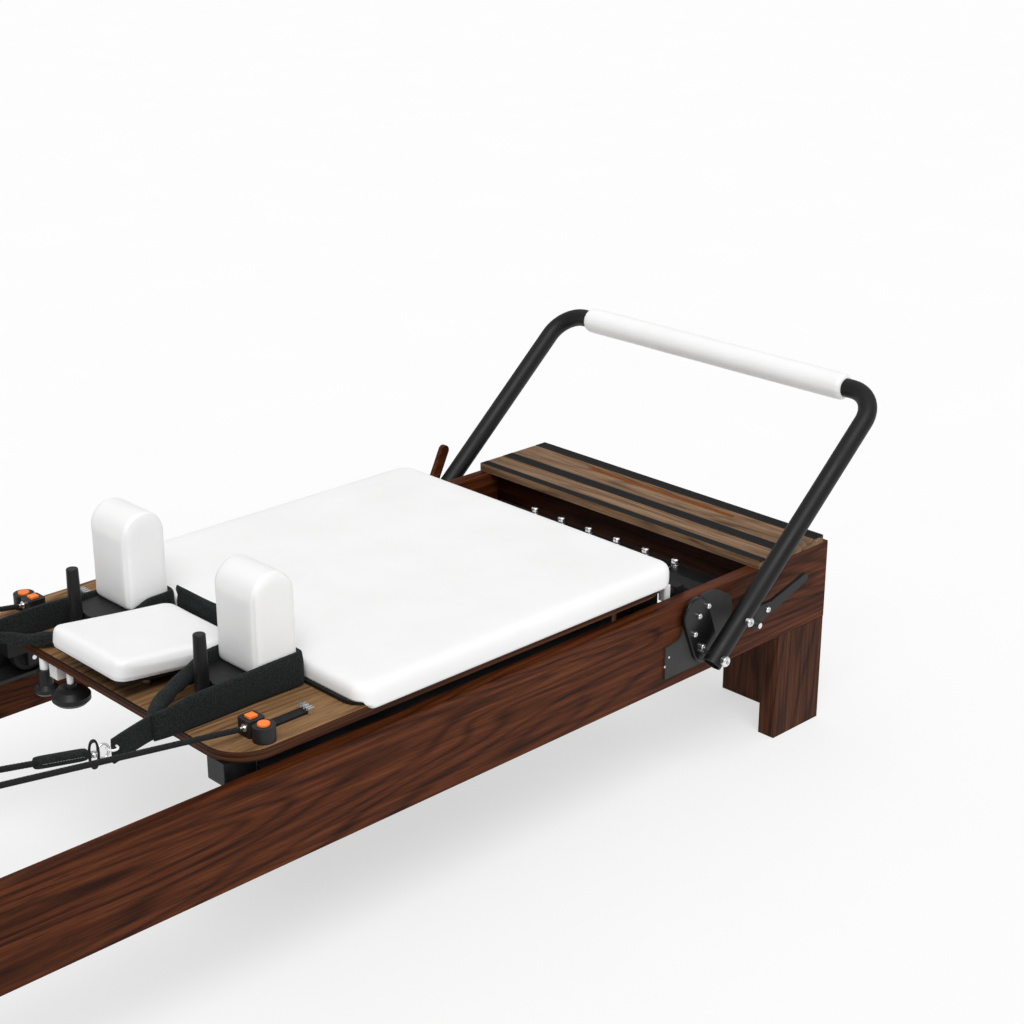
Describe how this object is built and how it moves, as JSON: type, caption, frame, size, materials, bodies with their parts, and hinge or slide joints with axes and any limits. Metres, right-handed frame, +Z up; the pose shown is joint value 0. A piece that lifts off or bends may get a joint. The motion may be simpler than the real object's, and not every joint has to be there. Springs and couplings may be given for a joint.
{
  "type": "pilates reformer",
  "caption": "Low walnut exercise frame with a sliding padded carriage, swinging footbar, shoulder rests, headrest, hand straps, ropes and springs.",
  "frame": {"origin": "on the floor, in the middle of the plan of the whole machine with its footbar", "axes": "+X to the foot end with the footbar, +Y to the far side, +Z up"},
  "size_m": [2.501, 0.8396, 0.6444],
  "materials": {
    "walnut": "oiled walnut, satin",
    "walnut_top": "matt walnut",
    "black_steel": "fine satin powder coat",
    "silver_steel": "polished zinc",
    "black_plastic": "moulded",
    "black_rubber": "ribbed",
    "white_upholstery": "smooth vinyl",
    "black_board": "black painted ply",
    "black_webbing": "fleece-faced webbing",
    "black_rope": "braided",
    "orange_plastic": "moulded",
    "track_aluminium": "black anodised",
    "roller_tyre": "polyurethane",
    "white_nylon": "moulded",
    "spring_steel": "bright wire"
  },
  "bodies": {
    "frame": {"near_side_rail": "walnut", "far_side_rail": "walnut", "end_boards": "walnut", "head_legs": "walnut", "foot_leg_near": "walnut", "foot_leg_far": "walnut", "platform_board": "walnut_top", "platform_grip_strips": "black_rubber", "platform_apron": "walnut", "roller_tracks": "track_aluminium", "carriage_stops": "black_rubber", "spring_bar_brackets": "black_steel", "cam_plate_near": "black_steel", "cam_plate_far": "black_steel", "cam_blocks": "black_plastic", "cam_bolts": "silver_steel", "riser_posts": "black_steel", "pulley_forks": "black_steel", "spring_bar": "black_steel", "spring_posts": "silver_steel", "springs": "spring_steel", "rope_near": "black_rope", "rope_far": "black_rope"},
    "pulley_near": {"pulley_near": "black_plastic"},
    "pulley_far": {"pulley_far": "black_plastic"},
    "footbar": {"footbar_tube": "black_steel", "footbar_grip": "white_upholstery", "footbar_bolts": "silver_steel"},
    "latch_lever_near": {"latch_lever_near": "black_steel"},
    "latch_handle_far": {"latch_handle_far": "walnut"},
    "carriage": {"carriage_board": "walnut_top", "cushion_backing": "black_board", "carriage_cushion": "white_upholstery", "corner_bumpers": "white_nylon", "roller_housings": "black_plastic", "roller_axles": "silver_steel", "spring_anchor_bar": "black_steel", "rest_bases": "black_plastic", "strap_posts": "black_plastic", "cleats": "black_plastic", "cleat_hardware": "silver_steel", "rest_link_band": "black_webbing", "headrest_hinge": "black_steel", "knob_bracket": "white_nylon", "strap_near": "black_webbing", "strap_far": "black_webbing", "rope_snaps": "black_plastic"},
    "roller_foot_near": {"roller_foot_near": "roller_tyre"},
    "roller_foot_far": {"roller_foot_far": "roller_tyre"},
    "roller_head_near": {"roller_head_near": "roller_tyre"},
    "roller_head_far": {"roller_head_far": "roller_tyre"},
    "shoulder_rest_near": {"rest_pad_near": "white_upholstery"},
    "shoulder_rest_far": {"rest_pad_far": "white_upholstery"},
    "cleat_button_near": {"cleat_button_near": "orange_plastic"},
    "cleat_button_far": {"cleat_button_far": "orange_plastic"},
    "headrest": {"headrest_board": "black_board", "headrest_pad": "white_upholstery"},
    "headrest_prop": {"headrest_prop": "silver_steel"},
    "lock_knob": {"lock_knob": "black_plastic"},
    "side_knob": {"side_knob": "black_plastic"}
  },
  "joints": [
    {"name": "carriage_slide", "type": "slide", "parent": "frame", "child": "carriage", "axis": [-1, 0, 0], "range_m": [0, 0.95], "stiffness_N_per_m": 60, "springref_m": -0.25, "deforming": ["springs", "rope_near", "rope_far"]},
    {"name": "footbar_swing", "type": "hinge", "parent": "frame", "child": "footbar", "pos_m": [0.80148, 0, 0.2475], "axis": [0, -1, 0], "range_deg": [-50, 45]},
    {"name": "latch_lever_near_pull", "type": "hinge", "parent": "footbar", "child": "latch_lever_near", "pos_m": [0.91348, -0.3815, 0.2725], "axis": [0, -1, 0], "range_deg": [0, 20], "stiffness_Nm_per_rad": 0.8, "springref_deg": -20.05},
    {"name": "latch_handle_far_swing", "type": "hinge", "parent": "footbar", "child": "latch_handle_far", "pos_m": [0.86238, 0.41, 0.30091], "axis": [0, -1, 0], "range_deg": [-25, 25]},
    {"name": "headrest_tilt", "type": "hinge", "parent": "carriage", "child": "headrest", "pos_m": [0.03748, 0, 0.396], "axis": [0, 1, 0], "range_deg": [-4, 0]},
    {"name": "headrest_prop_fold", "type": "hinge", "parent": "carriage", "child": "headrest_prop", "pos_m": [-0.11252, 0, 0.396], "axis": [0, 1, 0], "range_deg": [-36.8, 0]},
    {"name": "shoulder_rest_near_lift", "type": "slide", "parent": "carriage", "child": "shoulder_rest_near", "axis": [0, 0, 1], "range_m": [0, 0.12]},
    {"name": "shoulder_rest_far_lift", "type": "slide", "parent": "carriage", "child": "shoulder_rest_far", "axis": [0, 0, 1], "range_m": [0, 0.12]},
    {"name": "cleat_button_near_press", "type": "slide", "parent": "carriage", "child": "cleat_button_near", "axis": [0, 0, -1], "range_m": [0, 0.002], "stiffness_N_per_m": 400, "springref_m": -0.003},
    {"name": "cleat_button_far_press", "type": "slide", "parent": "carriage", "child": "cleat_button_far", "axis": [0, 0, -1], "range_m": [0, 0.002], "stiffness_N_per_m": 400, "springref_m": -0.003},
    {"name": "lock_knob_turn", "type": "hinge", "parent": "carriage", "child": "lock_knob", "pos_m": [-0.15052, 0.096, 0.335], "axis": [0, 0, 1], "continuous": true},
    {"name": "side_knob_turn", "type": "hinge", "parent": "carriage", "child": "side_knob", "pos_m": [-0.15352, 0.165, 0.333], "axis": [0, 0, 1], "continuous": true},
    {"name": "pulley_near_spin", "type": "hinge", "parent": "frame", "child": "pulley_near", "pos_m": [-1.17052, -0.295, 0.59], "axis": [0, 1, 0], "continuous": true},
    {"name": "pulley_far_spin", "type": "hinge", "parent": "frame", "child": "pulley_far", "pos_m": [-1.17052, 0.295, 0.59], "axis": [0, 1, 0], "continuous": true},
    {"name": "roller_foot_near_roll", "type": "hinge", "parent": "carriage", "child": "roller_foot_near", "pos_m": [0.69348, -0.293, 0.3253], "axis": [0, -1, 0], "continuous": true},
    {"name": "roller_foot_far_roll", "type": "hinge", "parent": "carriage", "child": "roller_foot_far", "pos_m": [0.69348, 0.293, 0.3253], "axis": [0, -1, 0], "continuous": true},
    {"name": "roller_head_near_roll", "type": "hinge", "parent": "carriage", "child": "roller_head_near", "pos_m": [-0.11252, -0.293, 0.3253], "axis": [0, -1, 0], "continuous": true},
    {"name": "roller_head_far_roll", "type": "hinge", "parent": "carriage", "child": "roller_head_far", "pos_m": [-0.11252, 0.293, 0.3253], "axis": [0, -1, 0], "continuous": true}
  ],
  "couplings": [
    {"joint": "headrest_prop_fold", "follows": "headrest_tilt", "ratio": 9.2},
    {"joint": "roller_foot_near_roll", "follows": "carriage_slide", "rad_per_m": 35.714},
    {"joint": "roller_foot_far_roll", "follows": "carriage_slide", "rad_per_m": 35.714},
    {"joint": "roller_head_near_roll", "follows": "carriage_slide", "rad_per_m": 35.714},
    {"joint": "roller_head_far_roll", "follows": "carriage_slide", "rad_per_m": 35.714}
  ]
}
